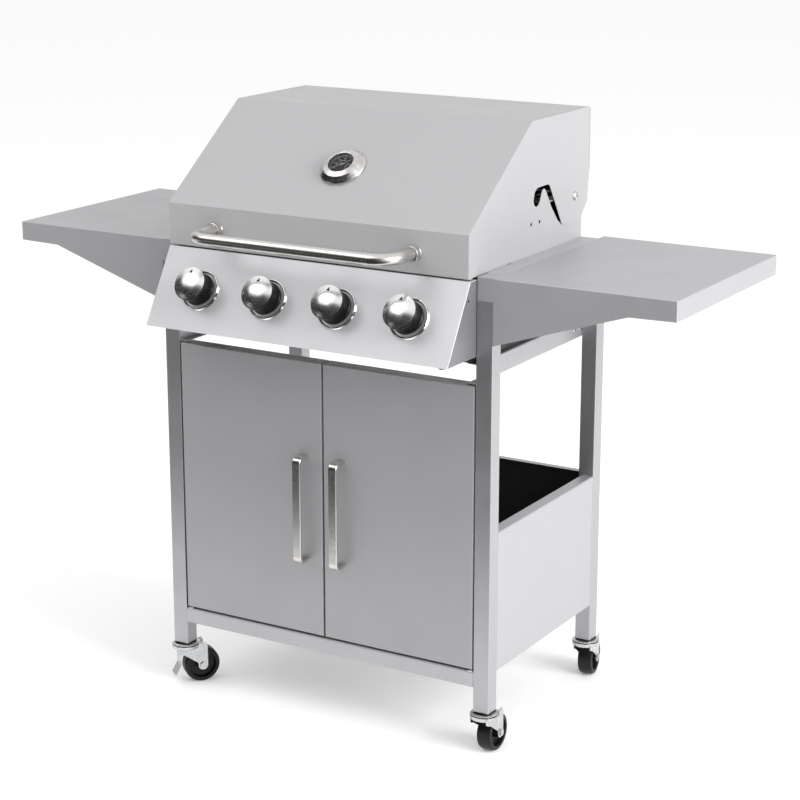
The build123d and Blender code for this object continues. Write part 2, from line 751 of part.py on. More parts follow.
def side_shelf():
    """Right-hand shelf: folded top, tapered front and back aprons, and a tab that covers the leg top."""
    inner = half_width + seam
    outer = half_width + shelf_reach
    kink = inner + apron_run
    edge_low = rim - shelf_edge
    apron_low = rim - apron_depth
    outline = [(inner, rim), (outer, rim), (outer, edge_low), (kink, edge_low - 1.5), (inner, apron_low)]
    body = along(polygon(*outline), 0, shelf_back)
    crisp = [e for e in body.faces().sort_by(Axis.Z)[-1].edges() if e.center().X > inner + 1]
    crisp += list(body.faces().sort_by(Axis.X)[-1].edges().filter_by(Axis.Z))
    body = fillet(crisp, bend)
    hollow = [(inner + sheet, rim - sheet), (outer - sheet, rim - sheet), (outer - sheet, edge_low - 3),
              (kink, edge_low - 4.5), (inner + sheet, apron_low - 3)]
    body -= along(polygon(*hollow), sheet, shelf_back - sheet)
    tab_inner = leg_inside + tab_gap
    body += block(shelf_joint + seam, inner + 1, 0.8, shelf_back, rim - sheet, rim)
    body += block(tab_inner, shelf_joint + 1, 0, tab_depth, rim - sheet, rim)
    body += block(tab_inner, inner + 1, 0, sheet, leg_top, rim)
    return body


# ---- Casters -----------------------------------------------------------------------------------

def caster_head(x, y):
    """Stem, top plate and king pin, fixed in the leg."""
    plate_low = head_top - head_thickness
    washer_top = fork_low - 0.4
    race_low = fork_low + fork_plate + 0.4
    stem_top = leg_bottom + stem_length
    shape = turned((0, washer_top - 2.6), (king_r + 3, washer_top - 2.6), (king_r + 3, washer_top),
                   (king_r, washer_top), (king_r, race_low), (king_r + 9, race_low), (king_r + 9, plate_low),
                   (head_r - 0.8, plate_low), (head_r, plate_low + 0.8), (head_r, head_top - 1.2),
                   (head_r - 2.5, head_top), (caster_stem_r, head_top), (caster_stem_r, stem_top),
                   (0, stem_top))
    return Pos(x, y, 0) * shape


def caster_fork(braked):
    """Fork with its axle on the +X side of the king pin, the axle bolt, and a lever pin if it has a brake."""
    low = fork_low
    rim_top = low + cup_height - 0.2
    inner = wheel_width / 2 + wheel_gap
    hole_r = king_r + running_fit
    cup = turned((hole_r, low), (fork_r - 1, low), (fork_r, low + 1), (fork_r, rim_top),
                 (fork_r - 2.2, rim_top), (fork_r - 2.2, low + fork_plate), (hole_r, low + fork_plate))
    back = caster_trail + 8.0
    roof = block(fork_r - 5, back - 2, -inner - fork_wall, inner + fork_wall, low, low + fork_plate)
    axle_z = wheel_r
    eye = axle_z - 8.5
    arm = [(-21, low + 5.5), (-21, low - 5), (-8, low - 10), (caster_trail - 8.5, axle_z + 5),
           (caster_trail - 8.5, eye), (back + 0.5, eye), (back + 0.5, low + 2), (back - 2, low + 9),
           (caster_trail - 4, low + 6)]
    side = rounded(arm, {1: 4, 2: 12, 3: 8, 4: 8.4, 5: 8.4, 6: 3, 7: 2})
    arms = [along(side, inner, inner + fork_wall), along(side, -inner - fork_wall, -inner)]
    bore = Pos(0, 0, low + 4) * Cylinder(fork_r - 2.2, 9)
    slug = Pos(caster_trail, 0, axle_z) * Rot(90, 0, 0) * Cylinder(axle_r, 60)
    fork = cup + roof + (arms[0] - bore - slug) + (arms[1] - bore - slug)
    reach = inner + fork_wall
    bolt = rod((caster_trail, -reach - 2, axle_z), (caster_trail, reach + 2, axle_z), axle_r)
    for side_sign in (1, -1):
        seat = Plane(origin=(caster_trail, side_sign * reach, axle_z), z_dir=(0, side_sign, 0))
        bolt += extrude(seat * RegularPolygon(6, 6), amount=3)
    solids = [fork, bolt]
    if braked:
        pin = rod((lever_x, -reach, lever_z), (lever_x, reach, lever_z), lever_pin_r)
        solids[0] -= pin
        solids.append(pin)
    return solids


def caster_wheel():
    """Wheel with a recessed web on each side."""
    half = wheel_width / 2
    hub = half + wheel_gap - 0.5
    side = [(9, hub), (10, 4), (wheel_r - 9, 5), (wheel_r - 7.5, half), (wheel_r - 3, half),
            (wheel_r - 1, half - 1.2), (wheel_r, half - 4)]
    other_side = [(radius, -width) for radius, width in reversed(side)]
    bore = axle_r + running_fit
    shape = turned((bore, hub), *side, *other_side, (bore, -hub))
    return Pos(caster_trail, 0, wheel_r) * Rot(90, 0, 0) * shape


def caster_brake():
    """Brake lever: a bent plate that hangs in front of the wheel on a cross pin."""
    line = [(lever_x, lever_z + 2), (lever_x - 0.5, 46), (lever_x + 0.5, 36), (lever_x - 10, 17)]
    plate = along(folded(line, 1.8, 1.5), -lever_half, lever_half)
    eye = rod((lever_x, -lever_half, lever_z), (lever_x, lever_half, lever_z), lever_pin_r + 2)
    return plate + eye - rod((lever_x, -20, lever_z), (lever_x, 20, lever_z), lever_pin_r + running_fit)


# ---- The whole grill ---------------------------------------------------------------------------

def all_nodes():
    """Every named sub-part, as a list of its solids."""
    nodes = {}
    for name, (x, y) in corners.items():
        nodes["leg_" + name] = leg(x, y)
    nodes["caster_sockets"] = [caster_socket(x, y) for x, y in corners.values()]
    nodes["caster_heads"] = [caster_head(x, y) for x, y in corners.values()]
    nodes["bottom_shelf"] = bottom_shelf()
    nodes["side_panel_left"] = mirrored(side_panel())
    nodes["side_panel_right"] = side_panel()
    nodes["back_panel"] = back_panel()
    nodes["cart_rails"] = both_sides(side_rail()) + [rear_rail()]
    nodes["frame_screws"] = frame_screws()
    nodes["door_brackets"] = [piece for solid in door_brackets() for piece in both_sides(solid)]
    nodes["door_catches"] = both_sides(door_catch())
    nodes["firebox"] = firebox()
    nodes["end_cap_left"] = mirrored(end_cap())
    nodes["end_cap_right"] = end_cap()
    nodes["control_panel"] = control_panel()
    nodes["knob_bezels"] = knob_bezels()
    nodes["gas_manifold"] = gas_manifold()
    nodes["gas_valves"] = [gas_valve(x) for x in knob_places]
    nodes["burners"] = [burner(x) for x in knob_places]
    nodes["flame_tamers"] = [flame_tamer(x) for x in knob_places]
    nodes["side_shelf_left"] = mirrored(side_shelf())
    nodes["side_shelf_right"] = side_shelf()
    nodes["door_left"] = mirrored(door())
    nodes["door_right"] = door()
    nodes["door_handle_left"] = [mirrored(solid) for solid in door_handle()]
    nodes["door_handle_right"] = door_handle()
    nodes["cooking_grate_left"] = mirrored(cooking_grate())
    nodes["cooking_grate_right"] = cooking_grate()
    nodes["warming_rack"] = warming_rack()
    nodes["grease_tray"] = grease_tray()
    nodes["hood_shell"] = hood_shell()
    nodes["hood_sides"] = both_sides(hood_side())
    nodes["hood_pivot_bolts"] = both_sides(hood_pivot_bolt())
    nodes["hood_handle"] = hood_handle()
    nodes["handle_ferrules"] = handle_ferrules()
    nodes["thermometer_case"] = thermometer_case()
    nodes["thermometer_lens"] = thermometer_lens()
    nodes["thermometer_needle"] = thermometer_needle()
    for number, x in enumerate(knob_places, 1):
        nodes[f"knob_{number}"] = knob(x)
        nodes[f"valve_stem_{number}"] = valve_stem(x)
    for name, (x, y) in corners.items():
        place = Pos(x, y, 0) * Rot(0, 0, caster_turns[name])
        braked = name in braked_casters
        nodes["caster_fork_" + name] = [place * solid for solid in caster_fork(braked)]
        nodes["caster_wheel_" + name] = place * caster_wheel()
        if braked:
            nodes["caster_brake_" + name] = place * caster_brake()
    return nodes


def as_solids(shape):
    """All solids of one sub-part, whatever it was made as."""
    pieces = shape if isinstance(shape, list) else [shape]
    return [solid for piece in pieces for solid in piece.solids()]


nodes = {name: as_solids(shape) for name, shape in all_nodes().items()}
whole = Compound([solid for solids in nodes.values() for solid in solids]).bounding_box()
origin_y = (whole.min.Y + whole.max.Y) / 2

os.makedirs("parts", exist_ok=True)
for name, solids in nodes.items():
    moved = [Pos(0, -origin_y, 0) * solid for solid in solids]
    export_step(Compound(moved), f"parts/{name}.step")
print(len(nodes), "sub-parts; origin", round(origin_y, 2), "mm behind the front legs; size",
      [round(v, 1) for v in (whole.size.X, whole.size.Y, whole.size.Z)])
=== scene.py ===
import json
from math import cos, pi, radians, sin

import bmesh
import bpy
from mathutils import Matrix, Vector


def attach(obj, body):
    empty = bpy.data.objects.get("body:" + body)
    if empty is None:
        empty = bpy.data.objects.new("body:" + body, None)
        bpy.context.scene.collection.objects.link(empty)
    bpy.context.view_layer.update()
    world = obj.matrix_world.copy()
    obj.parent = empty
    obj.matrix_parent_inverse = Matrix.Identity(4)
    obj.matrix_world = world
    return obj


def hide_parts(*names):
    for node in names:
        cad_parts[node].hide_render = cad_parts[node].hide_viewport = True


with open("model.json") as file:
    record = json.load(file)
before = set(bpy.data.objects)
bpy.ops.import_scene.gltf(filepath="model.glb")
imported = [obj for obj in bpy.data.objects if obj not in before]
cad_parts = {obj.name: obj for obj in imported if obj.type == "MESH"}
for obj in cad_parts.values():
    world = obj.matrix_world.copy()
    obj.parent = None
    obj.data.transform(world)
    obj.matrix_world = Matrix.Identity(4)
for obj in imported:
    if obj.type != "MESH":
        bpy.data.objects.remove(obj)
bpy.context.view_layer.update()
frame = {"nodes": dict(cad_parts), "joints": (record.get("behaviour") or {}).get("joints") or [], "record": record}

MM = 0.001
joints = {j["name"]: j for j in frame["joints"]}
nodes = frame["nodes"]

# The view of the picture: from the cook's right, a little above the hood.
CAMERA_PLACE = Vector((1.8029, -2.9505, 1.4659))
CAMERA_TARGET = Vector((0.0172, 0.0513, 0.5056))
CAMERA_LENS = 96.14
SENSOR_WIDTH = 36.0

SUN_POWER = 0.20
SUN_ANGLE = 100.0
KEY_POWER = 175.0
SHEEN_POWER = 34.0
WORLD_POWER = 0.82

EDGE_REACH = 0.8 * MM      # how far from an edge the painted highlight reaches


# ---- Materials ---------------------------------------------------------------------------------

class Finish:
    """A Principled material with short calls for the texture nodes that feed it."""

    def __init__(self, name, color, metallic=0.0, roughness=0.5, **sockets):
        self.mat = bpy.data.materials.new(name)
        self.mat.use_nodes = True
        self.nodes = self.mat.node_tree.nodes
        self.links = self.mat.node_tree.links
        self.bsdf = self.nodes["Principled BSDF"]
        self.set("Base Color", (*color, 1.0))
        self.set("Metallic", metallic)
        self.set("Roughness", roughness)
        for socket, value in sockets.items():
            self.set(socket.replace("_", " "), value)
        self.coordinates = self.nodes.new("ShaderNodeTexCoord")
        self.place = self.coordinates.outputs["Object"]
        self.height = None

    def set(self, socket, value):
        self.bsdf.inputs[socket].default_value = value

    def feed(self, socket, output):
        self.links.new(output, self.bsdf.inputs[socket])

    def stretched(self, scale):
        """Coordinates scaled by a different amount along each axis."""
        node = self.nodes.new("ShaderNodeMapping")
        node.inputs["Scale"].default_value = scale
        self.links.new(self.place, node.inputs["Vector"])
        return node.outputs["Vector"]

    def noise(self, scale, detail=3.0, rough=0.55, vector=None):
        node = self.nodes.new("ShaderNodeTexNoise")
        node.inputs["Scale"].default_value = scale
        node.inputs["Detail"].default_value = detail
        node.inputs["Roughness"].default_value = rough
        self.links.new(vector or self.place, node.inputs["Vector"])
        return node.outputs["Fac"]

    def remap(self, output, low, high, start=0.0, end=1.0):
        """The output's range start to end, mapped to low to high."""
        node = self.nodes.new("ShaderNodeMapRange")
        node.inputs["From Min"].default_value = start
        node.inputs["From Max"].default_value = end
        node.inputs["To Min"].default_value = low
        node.inputs["To Max"].default_value = high
        self.links.new(output, node.inputs["Value"])
        return node.outputs["Result"]

    def combine(self, one, two, how):
        """Two outputs joined by a math operation."""
        node = self.nodes.new("ShaderNodeMath")
        node.operation = how
        self.links.new(one, node.inputs[0])
        self.links.new(two, node.inputs[1])
        return node.outputs["Value"]

    def vector_math(self, how, *terms):
        """A vector operation; each term is an output or a fixed vector."""
        node = self.nodes.new("ShaderNodeVectorMath")
        node.operation = how
        for socket, term in zip(node.inputs, terms):
            if isinstance(term, bpy.types.NodeSocket):
                self.links.new(term, socket)
            else:
                socket.default_value = term
        return node.outputs["Value" if how in ("DOT_PRODUCT", "LENGTH") else "Vector"]

    def blend(self, factor, one, two):
        """Colour between one and two; each is a colour or an output."""
        node = self.nodes.new("ShaderNodeMix")
        node.data_type = "RGBA"
        self.links.new(factor, node.inputs["Factor"])
        for socket, value in ((node.inputs[6], one), (node.inputs[7], two)):
            if isinstance(value, tuple):
                socket.default_value = (*value, 1.0)
            else:
                self.links.new(value, socket)
        return node.outputs[2]

    def edges(self):
        """1 near a sharp edge and 0 on a flat face."""
        bevel = self.nodes.new("ShaderNodeBevel")
        bevel.samples = 4
        bevel.inputs["Radius"].default_value = EDGE_REACH
        true = self.nodes.new("ShaderNodeNewGeometry")
        turned = self.vector_math("DOT_PRODUCT", bevel.outputs["Normal"], true.outputs["Normal"])
        return self.remap(turned, 1.0, 0.0, 0.75, 0.98)

    def facing(self, *directions):
        """1 on faces that look along one of the directions and 0 on all others."""
        total = None
        for direction in directions:
            along = self.vector_math("DOT_PRODUCT", self.coordinates.outputs["Normal"], direction)
            faces = self.remap(along, 0.0, 1.0, 0.85, 0.95)
            total = faces if total is None else self.combine(total, faces, "MAXIMUM")
        return total

    def bump(self, output, strength, distance):
        """Adds relief on top of the relief that is there already."""
        node = self.nodes.new("ShaderNodeBump")
        node.inputs["Strength"].default_value = strength
        node.inputs["Distance"].default_value = distance
        self.links.new(output, node.inputs["Height"])
        if self.height:
            self.links.new(self.height, node.inputs["Normal"])
        self.height = node.outputs["Normal"]
        self.feed("Normal", self.height)


def shade(color, amount):
    """The colour made darker or lighter, each channel kept at or under 1."""
    return tuple(min(1.0, c * amount) for c in color)


def silver_paint(name, color, metallic=0.28, facing_color=None, directions=()):
    """Sprayed silver: fine metal flake, faint orange peel, a few soft smudges and a painted highlight along the
    edges.

    Faces that look along one of the directions take the colour facing_color: painted shade on the cabinet's inner
    faces, and the darker end faces of the panel.
    """
    f = Finish(name, color, metallic=metallic, roughness=0.42, Coat_Weight=0.12, Coat_Roughness=0.25)
    flake = f.noise(2600.0, detail=2.0)
    cloud = f.noise(4.0, detail=4.0)
    body = f.blend(f.remap(flake, 0.0, 1.0, 0.35, 0.65), shade(color, 0.90), shade(color, 1.08))
    body = f.blend(f.remap(cloud, 0.0, 0.35, 0.4, 0.7), body, shade(color, 0.94))
    # Recolours faces by the direction they look in; for the cabinet's inner faces this is painted shade.
    if facing_color:
        body = f.blend(f.facing(*directions), body, facing_color)
    # Painted highlight: the base colour is made lighter near sharp edges.
    f.feed("Base Color", f.blend(f.edges(), body, shade(color, 1.25)))
    smudge = f.noise(11.0, detail=5.0, rough=0.7)
    f.feed("Roughness", f.remap(smudge, 0.36, 0.50, 0.3, 0.7))
    f.bump(f.noise(420.0, detail=2.0), 0.10, 0.25 * MM)
    f.bump(flake, 0.05, 0.08 * MM)
    return f.mat


def brushed_steel(name, color, grain, roughness=0.28):
    """Steel with fine brush lines; grain is small along the lines and large across them."""
    f = Finish(name, color, metallic=1.0, roughness=roughness, Anisotropic=0.35)
    lines = f.noise(1.0, detail=5.0, rough=0.7, vector=f.stretched(grain))
    wide = f.noise(9.0, detail=3.0)
    body = f.blend(f.remap(lines, 0.0, 1.0, 0.3, 0.7), shade(color, 0.84), shade(color, 1.08))
    # Painted highlight: the base colour is made lighter near sharp edges.
    f.feed("Base Color", f.blend(f.edges(), body, shade(color, 1.15)))
    fine = f.remap(lines, -0.05, 0.07)
    broad = f.remap(wide, roughness - 0.04, roughness + 0.05)
    f.feed("Roughness", f.combine(fine, broad, "ADD"))
    f.bump(lines, 0.12, 0.06 * MM)
    return f.mat


def chrome(name):
    """Polished plating with faint wipe marks."""
    color = (0.88, 0.88, 0.90)
    f = Finish(name, color, metallic=1.0, roughness=0.07)
    wipe = f.noise(1.0, detail=4.0, rough=0.65, vector=f.stretched((60.0, 240.0, 90.0)))
    f.feed("Roughness", f.remap(wipe, 0.04, 0.13, 0.3, 0.75))
    f.feed("Base Color", f.blend(f.remap(f.noise(30.0), 0.0, 1.0, 0.35, 0.7), shade(color, 0.96), color))
    f.bump(f.noise(160.0), 0.02, 0.05 * MM)
    return f.mat


def satin_chrome(name, roughness):
    """Plating over a finely blasted surface, with soft reflections."""
    color = (0.93, 0.93, 0.94)
    f = Finish(name, color, metallic=1.0, roughness=roughness)
    cloud = f.noise(55.0, detail=4.0, rough=0.6)
    f.feed("Roughness", f.remap(cloud, roughness - 0.03, roughness + 0.04, 0.3, 0.7))
    f.feed("Base Color", f.blend(f.remap(cloud, 0.0, 1.0, 0.35, 0.7), shade(color, 0.97), color))
    f.bump(f.noise(1400.0, detail=2.0), 0.02, 0.02 * MM)
    return f.mat


def zinc_plate(name):
    """Bright zinc with a bluish and yellowish cast in patches."""
    bluish = (0.50, 0.52, 0.56)
    yellowish = (0.66, 0.65, 0.61)
    f = Finish(name, (0.58, 0.59, 0.61), metallic=1.0, roughness=0.24)
    patch = f.noise(70.0, detail=3.0)
    f.feed("Base Color", f.blend(f.remap(patch, 0.0, 1.0, 0.35, 0.65), bluish, yellowish))
    f.feed("Roughness", f.remap(f.noise(300.0), 0.18, 0.36, 0.3, 0.7))
    f.bump(f.noise(900.0), 0.08, 0.05 * MM)
    return f.mat


def enamel(name, color, roughness, grain=700.0, depth=0.25):
    """Heat-proof enamel or cast iron: speckled, with a sandy surface."""
    f = Finish(name, color, roughness=roughness, Specular_IOR_Level=0.4)
    sand = f.noise(grain, detail=4.0, rough=0.65)
    body = f.blend(f.remap(sand, 0.0, 1.0, 0.35, 0.7), shade(color, 0.7), shade(color, 1.6))
    # Painted highlight: the base colour is made lighter near sharp edges.
    f.feed("Base Color", f.blend(f.edges(), body, shade(color, 3.2)))
    f.feed("Roughness", f.remap(f.noise(25.0), roughness - 0.08, roughness + 0.12, 0.3, 0.7))
    f.bump(sand, depth, 0.3 * MM)
    return f.mat


def moulded(name, color, roughness=0.45, grain=1500.0):
    """Moulded plastic or rubber with a fine satin texture and dull scuffs."""
    f = Finish(name, color, roughness=roughness, Specular_IOR_Level=0.28)
    scuff = f.noise(45.0, detail=5.0, rough=0.7)
    worn = tuple(c * 1.6 + 0.003 for c in color)
    f.feed("Base Color", f.blend(f.remap(scuff, 0.0, 0.5, 0.5, 0.8), color, worn))
    f.feed("Roughness", f.remap(scuff, roughness - 0.06, roughness + 0.14, 0.3, 0.75))
    f.bump(f.noise(grain, detail=2.0), 0.15, 0.1 * MM)
    return f.mat


def turned_steel(name, color, centre, axis):
    """Steel faced on a lathe: fine rings about an axis fan the reflections out."""
    f = Finish(name, color, metallic=1.0, roughness=0.22)
    offset = f.vector_math("SUBTRACT", f.place, centre)
    radius = f.vector_math("LENGTH", f.vector_math("CROSS_PRODUCT", offset, axis))
    rings = f.nodes.new("ShaderNodeTexNoise")
    rings.noise_dimensions = "1D"
    rings.inputs["Scale"].default_value = 2600.0
    rings.inputs["Detail"].default_value = 3.0
    f.links.new(radius, rings.inputs["W"])
    streak = f.noise(90.0, detail=4.0, rough=0.7)
    mix = f.remap(streak, 0.0, 1.0, 0.35, 0.65)
    f.feed("Base Color", f.blend(mix, shade(color, 0.78), shade(color, 1.1)))
    f.feed("Roughness", f.remap(streak, 0.17, 0.30, 0.3, 0.7))
    f.bump(rings.outputs["Fac"], 0.55, 0.12 * MM)
    f.bump(f.noise(700.0), 0.12, 0.05 * MM)
    return f.mat


def plain_metal(name, color, roughness, stain):
    """Bare metal with a soft stain, such as brass or heated steel."""
    f = Finish(name, color, metallic=1.0, roughness=roughness)
    cloud = f.noise(38.0, detail=4.0, rough=0.6)
    f.feed("Base Color", f.blend(f.remap(cloud, 0.0, 1.0, 0.4, 0.7), color, stain))
    f.feed("Roughness", f.remap(f.noise(260.0), roughness - 0.06, roughness + 0.10, 0.3, 0.7))
    f.bump(f.noise(800.0), 0.06, 0.06 * MM)
    return f.mat


def clear_glass(name):
    """A thin lens: a low index keeps it from bending what is behind it."""
    f = Finish(name, (0.97, 0.98, 0.98), roughness=0.02, Transmission_Weight=1.0, IOR=1.2)
    f.feed("Roughness", f.remap(f.noise(60.0, detail=4.0), 0.0, 0.05, 0.4, 0.8))
    return f.mat


SILVER = (0.45, 0.45, 0.465)
# Painted shade: near-black colour for the cabinet's inner faces, standing in for the shade inside it.
CABINET_PAINTED_SHADE = (0.03, 0.03, 0.032)
# Darker colour given to the control panel's end faces, those facing right and left.
WEDGE_END = (0.20, 0.20, 0.215)
RIGHT, LEFT, FRONT = (1, 0, 0), (-1, 0, 0), (0, -1, 0)
needle_joint = joints["gauge_needle_turn"]

paint_frame = silver_paint("silver_paint_frame", SILVER, 0.5)
paint_leg = silver_paint("silver_paint_leg", (0.46, 0.46, 0.475), 0.85)
# A darker copy of the silver paint: painted shade on the doors.
paint_door = silver_paint("silver_paint_door", (0.342, 0.340, 0.352))
# A lighter copy of the silver paint: painted light on the control panel.
paint_panel = silver_paint("silver_paint_panel", (0.56, 0.56, 0.575), 0.28, WEDGE_END, (RIGHT, LEFT))
# The inner faces of the side and back panels take painted shade.
paint_left = silver_paint("silver_paint_left", SILVER, 0.5, CABINET_PAINTED_SHADE, (RIGHT,))
paint_right = silver_paint("silver_paint_right", SILVER, 0.5, CABINET_PAINTED_SHADE, (LEFT,))
paint_back = silver_paint("silver_paint_back", SILVER, 0.5, CABINET_PAINTED_SHADE, (FRONT,))
# A slightly darker copy of the silver paint: painted shade on the hood and on the end caps.
paint_hood = silver_paint("silver_paint_hood", (0.425, 0.425, 0.435), 0.15)
steel_bar = brushed_steel("satin_steel_bar", (0.70, 0.68, 0.65), (30.0, 900.0, 900.0))
steel_round = brushed_steel("satin_steel_round", (0.72, 0.70, 0.68), (700.0, 700.0, 60.0))
steel_turned = turned_steel("satin_steel_turned", (0.68, 0.66, 0.65), needle_joint["pos_m"],
                            needle_joint["axis"])
steel_sheet = brushed_steel("plain_steel_sheet", (0.50, 0.50, 0.51), (700.0, 25.0, 700.0), 0.36)
chrome_plate = chrome("polished_chrome")
knob_chrome = satin_chrome("satin_chrome", 0.25)
bezel_chrome = satin_chrome("bezel_chrome", 0.17)
zinc = zinc_plate("bright_zinc")
box_enamel = enamel("black_enamel", (0.022, 0.022, 0.023), 0.42)
iron = enamel("cast_iron_enamel", (0.030, 0.030, 0.031), 0.50, 420.0, 0.45)
brass = plain_metal("brass", (0.72, 0.55, 0.27), 0.30, (0.55, 0.40, 0.20))
pipe_metal = plain_metal("dull_aluminium", (0.62, 0.62, 0.63), 0.38, (0.52, 0.52, 0.54))
black_plastic = moulded("black_plastic", (0.005, 0.005, 0.0055), 0.30)
black_rubber = moulded("black_rubber", (0.004, 0.004, 0.0045), 0.38, 900.0)
dial_black = moulded("dial_black", (0.006, 0.006, 0.007), 0.6)
dial_ink = moulded("dial_ink", (0.48, 0.46, 0.43), 0.5)
needle_paint = moulded("needle_paint", (0.28, 0.27, 0.26), 0.5)
glass = clear_glass("gauge_glass")

by_slot = {
    "frame_paint": paint_frame,
    "door_paint": paint_door,
    "panel_paint": paint_panel,
    "hood_paint": paint_hood,
    "firebox_enamel": box_enamel,
    "grate_iron": iron,
    "plated_wire": chrome_plate,
    "tray_steel": steel_sheet,
    "chrome_trim": chrome_plate,
    "bright_steel": steel_round,
    "zinc": zinc,
    "brass_fittings": brass,
    "pipe_aluminium": pipe_metal,
    "black_plastic": black_plastic,
    "needle_paint": needle_paint,
    "gauge_glass": glass,
    "wheel_rubber": black_rubber,
}
slot_of = {row["node"]: row["material_slot"] for row in frame["record"]["subparts"]}

# Nodes that look different from the rest of their slot.
by_node = {
    "door_handle_left": steel_bar,
    "door_handle_right": steel_bar,
    "thermometer_case": steel_turned,
    "knob_bezels": bezel_chrome,
    # The end caps take the hood's darker copy, which is painted shade.
    "end_cap_left": paint_hood,
    "end_cap_right": paint_hood,
    "side_panel_left": paint_left,
    "side_panel_right": paint_right,
    "back_panel": paint_back,
}
for corner in ("front_left", "front_right", "rear_left", "rear_right"):
    by_node[f"leg_{corner}"] = paint_leg

for name, obj in nodes.items():
    obj.data.materials.clear()
    obj.data.materials.append(by_node.get(name) or by_slot[slot_of[name]])


# ---- Mesh helpers ------------------------------------------------------------------------------

def make_piece(name, bm, materials, body, replaces=(), sharp=32.0):
    """Turns a finished bmesh into a piece that rides on a body."""
    bmesh.ops.recalc_face_normals(bm, faces=bm.faces)
    mesh = bpy.data.meshes.new(name)
    bm.to_mesh(mesh)
    bm.free()
    for material in materials:
        mesh.materials.append(material)
    mesh.polygons.foreach_set("use_smooth", [True] * len(mesh.polygons))
    mesh.set_sharp_from_angle(angle=radians(sharp))
    obj = bpy.data.objects.new(name, mesh)
    bpy.context.scene.collection.objects.link(obj)
    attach(obj, body)
    if replaces:
        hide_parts(*replaces)


def lathe(bm, profile, place, material=0, steps=96):
    """Closed solid of revolution from (radius, height) points in millimetres, about the Z axis of place."""
    rings = []
    for radius, height in profile:
        count = 1 if radius < 1e-6 else steps
        turns = [2 * pi * n / steps for n in range(count)]
        points = [Vector((radius * cos(a), radius * sin(a), height)) for a in turns]
        rings.append([bm.verts.new(place @ (point * MM)) for point in points])
    for one, two in zip(rings, rings[1:] + rings[:1]):
        if len(one) == 1 and len(two) == 1:
            continue
        for n in range(steps):
            m = (n + 1) % steps
            corners = [one[n % len(one)], one[m % len(one)], two[m % len(two)], two[n % len(two)]]
            face = bm.faces.new(list(dict.fromkeys(corners)))
            face.material_index = material


def prism(bm, outline, low, high, place, material=0):
    """Solid between two heights with an (x, y) outline, in millimetres."""
    rings = [[bm.verts.new(place @ (Vector((x, y, z)) * MM)) for x, y in outline] for z in (low, high)]
    faces = [bm.faces.new(reversed(rings[0])), bm.faces.new(rings[1])]
    for n in range(len(outline)):
        m = (n + 1) % len(outline)
        faces.append(bm.faces.new((rings[0][n], rings[0][m], rings[1][m], rings[1][n])))
    for face in faces:
        face.material_index = material


def arc(radius, start, end, count=20):
    """Points on an arc about the origin, angles in degrees."""
    turns = [radians(start + (end - start) * n / count) for n in range(count + 1)]
    return [(radius * cos(a), radius * sin(a)) for a in turns]


def place_of(joint):
    """Frame on a joint's axis: its Z follows the axis and its X points to the grill's right."""
    z = Vector(joints[joint]["axis"]).normalized()
    x = Vector((1, 0, 0))
    place = Matrix((x, z.cross(x), z)).transposed().to_4x4()
    place.translation = Vector(joints[joint]["pos_m"])
    return place


# ---- Knobs -------------------------------------------------------------------------------------
# Radii and heights are in millimetres, about and along the knob's axis, from its joint.

KNOB_TOP = 43.45
CAP_DROPS = [(27.6, 7.6), (25.6, 6.7), (23.6, 5.7), (19.0, 3.55), (14.0, 1.85), (8.0, 0.6), (0.0, 0.0)]
CAP_LINE = [(radius, KNOB_TOP - drop) for radius, drop in CAP_DROPS]
CAP_FOOT = 35.4
CAP_STEPS = 128
BODY_TOP = 35.6
BODY_LINE = [(0, 4.1), (24.6, 4.1), (26.6, 4.5), (26.9, 5.4), (26.4, 7.0), (25.0, 8.4), (24.2, 27.4),
             (25.2, 28.9), (26.8, 30.0), (27.6, 30.5), (27.95, 31.3), (27.9, 35.3), (27.5, BODY_TOP),
             (0, BODY_TOP)]

POINTER_START = 16.6
POINTER_LENGTH = 6.4
POINTER_HALF = 2.8
POINTER_TIP_HALF = 0.2
POINTER_PROUD = 0.22
POINTER_DEPTH = 1.4
POINTER_STEPS = 5


def eased(points, steps=5):
    """Points on a smooth curve through the given ones (a Catmull-Rom spline)."""
    ends = [points[0], *points, points[-1]]
    line = []
    for before, one, two, after in zip(ends, ends[1:], ends[2:], ends[3:]):
        for n in range(steps):
            t = n / steps
            weights = (-t + 2 * t * t - t ** 3, 2 - 5 * t * t + 3 * t ** 3,
                       t + 4 * t * t - 3 * t ** 3, t ** 3 - t * t)
            knots = (before, one, two, after)
            radius, height = [sum(w * q[axis] for w, q in zip(weights, knots)) / 2 for axis in (0, 1)]
            line.append((max(0.0, radius), height))
    return line + [points[-1]]


def cap_height(radius):
    """Height of the cap's surface at a distance from the knob's axis."""
    for (r0, z0), (r1, z1) in zip(CAP_LINE, CAP_LINE[1:]):
        if r1 <= radius <= r0:
            return z0 + (z1 - z0) * (r0 - radius) / (r0 - r1)
    raise ValueError(f"{radius} mm is past the cap's rim")


def add_pointer(bm, place, material):
    """Black triangle set into the cap, its tip towards the rim; it follows the cap's slope in short rows."""
    rows = []
    for n in range(POINTER_STEPS + 1):
        y = POINTER_START + POINTER_LENGTH * n / POINTER_STEPS
        half = POINTER_HALF * (1 - n / POINTER_STEPS) + POINTER_TIP_HALF
        top = cap_height(y) + POINTER_PROUD
        foot = top - POINTER_DEPTH
        corners = ((-half, y, top), (half, y, top), (half, y, foot), (-half, y, foot))
        rows.append([bm.verts.new(place @ (Vector(c) * MM)) for c in corners])
    faces = [bm.faces.new(rows[0]), bm.faces.new(reversed(rows[-1]))]
    for one, two in zip(rows, rows[1:]):
        faces += [bm.faces.new((one[n], one[(n + 1) % 4], two[(n + 1) % 4], two[n])) for n in range(4)]
    for face in faces:
        face.material_index = material


